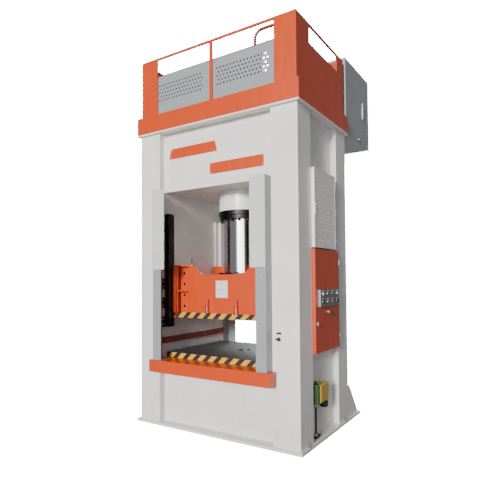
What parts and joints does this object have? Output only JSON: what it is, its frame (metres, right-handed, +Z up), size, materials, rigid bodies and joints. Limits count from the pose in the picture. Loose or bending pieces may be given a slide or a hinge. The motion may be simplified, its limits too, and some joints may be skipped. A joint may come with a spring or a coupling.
{
  "type": "hydraulic press",
  "caption": "Straight-sided hydraulic press: welded frame, guided slide under a chrome ram, table, guarded deck with rear oil tank, side control cabinet.",
  "frame": {"origin": "on the floor under the centre of the table, on the ram's axis", "axes": "+Z up along the ram, +X towards the side with the control cabinet, -Y towards the operator"},
  "size_m": [2.7774, 2.9, 5.42],
  "materials": {
    "frame_paint": "satin white enamel",
    "orange_paint": "satin orange enamel",
    "grey_paint": "satin light grey enamel",
    "tank_paint": "satin mid grey enamel",
    "chrome": "polished hard chrome",
    "black_steel": "black oxide, oiled",
    "cast_table": "ground cast iron",
    "gib_metal": "oiled cast iron",
    "plate_white": "painted sheet",
    "panel_grey": "anodised",
    "black_plastic": "moulded",
    "red_plastic": "moulded",
    "green_plastic": "moulded",
    "lamp_lens": "clear moulded",
    "zinc": "zinc plated",
    "lube_paint": "yellow enamel",
    "hose_rubber": "matte"
  },
  "bodies": {
    "frame": {"anchor_bolts": "zinc", "barrel": "frame_paint", "base_plate": "frame_paint", "bed": "frame_paint", "bolster": "cast_table", "column_left": "frame_paint", "column_right": "frame_paint", "control_cabinet": "orange_paint", "cover_left": "grey_paint", "cover_right": "grey_paint", "crown": "frame_paint", "deck": "orange_paint", "foot_gussets": "frame_paint", "gib_blocks": "gib_metal", "gib_front_left": "gib_metal", "gib_front_right": "gib_metal", "gib_rear_left": "gib_metal", "gib_rear_right": "gib_metal", "gland_ring": "black_steel", "guard_front": "orange_paint", "guard_left": "orange_paint", "guard_rear": "orange_paint", "guard_right": "orange_paint", "handrail": "orange_paint", "infill_left": "grey_paint", "infill_right": "grey_paint", "lube_hose": "hose_rubber", "lube_unit": "lube_paint", "name_plates": "orange_paint", "oil_tank": "tank_paint", "post_front_left": "grey_paint", "post_front_right": "grey_paint", "post_rear_left": "grey_paint", "post_rear_right": "grey_paint", "side_hook": "frame_paint", "side_rail_left": "orange_paint", "side_rail_right": "orange_paint", "sill_front": "orange_paint", "sill_rear": "orange_paint", "switch_base": "black_plastic", "tank_brackets": "frame_paint", "tank_lid": "tank_paint", "vent_box": "frame_paint"},
    "slide": {"slide": "orange_paint", "rod": "chrome", "rod_flange": "black_steel", "slide_bolts": "black_steel", "slide_label": "plate_white"},
    "cabinet_door": {"cabinet_door": "orange_paint", "control_plate": "panel_grey", "indicator_lamps": "lamp_lens"},
    "door_lock": {"door_lock": "zinc"},
    "vent_door": {"vent_door": "frame_paint"},
    "switch_knob": {"switch_knob": "black_plastic"},
    "selector_left": {"selector_left": "black_plastic"},
    "selector_right": {"selector_right": "black_plastic"},
    "button_1": {"button_1": "black_plastic"},
    "button_2": {"button_2": "green_plastic"},
    "button_3": {"button_3": "red_plastic"},
    "button_4": {"button_4": "black_plastic"},
    "emergency_stop": {"emergency_stop": "red_plastic"}
  },
  "joints": [
    {"name": "slide_stroke", "type": "slide", "parent": "frame", "child": "slide", "axis": [0, 0, 1], "range_m": [-0.4, 0.3]},
    {"name": "cabinet_door_hinge", "type": "hinge", "parent": "frame", "child": "cabinet_door", "pos_m": [1.341, 0.38, 1.7875], "axis": [0, 0, 1], "range_deg": [0, 110]},
    {"name": "door_lock_turn", "type": "hinge", "parent": "cabinet_door", "child": "door_lock", "pos_m": [1.345, -0.375, 1.5], "axis": [1, 0, 0], "range_deg": [-90, 0]},
    {"name": "vent_door_hinge", "type": "hinge", "parent": "frame", "child": "vent_door", "pos_m": [1.341, 0.29, 2.966], "axis": [0, 0, 1], "range_deg": [0, 110]},
    {"name": "switch_turn", "type": "hinge", "parent": "frame", "child": "switch_knob", "pos_m": [1.022, -0.8, 1.338], "axis": [0, -1, 0], "range_deg": [0, 90]},
    {"name": "selector_left_turn", "type": "hinge", "parent": "cabinet_door", "child": "selector_left", "pos_m": [1.366, -0.085, 1.87], "axis": [1, 0, 0], "range_deg": [-45, 45]},
    {"name": "selector_right_turn", "type": "hinge", "parent": "cabinet_door", "child": "selector_right", "pos_m": [1.366, 0.075, 1.87], "axis": [1, 0, 0], "range_deg": [-45, 45]},
    {"name": "button_1_press", "type": "slide", "parent": "cabinet_door", "child": "button_1", "axis": [-1, 0, 0], "range_m": [0, 0.005], "stiffness_N_per_m": 600},
    {"name": "button_2_press", "type": "slide", "parent": "cabinet_door", "child": "button_2", "axis": [-1, 0, 0], "range_m": [0, 0.005], "stiffness_N_per_m": 600},
    {"name": "button_3_press", "type": "slide", "parent": "cabinet_door", "child": "button_3", "axis": [-1, 0, 0], "range_m": [0, 0.005], "stiffness_N_per_m": 600},
    {"name": "button_4_press", "type": "slide", "parent": "cabinet_door", "child": "button_4", "axis": [-1, 0, 0], "range_m": [0, 0.005], "stiffness_N_per_m": 600},
    {"name": "emergency_stop_press", "type": "slide", "parent": "cabinet_door", "child": "emergency_stop", "axis": [-1, 0, 0], "range_m": [0, 0.006]}
  ]
}
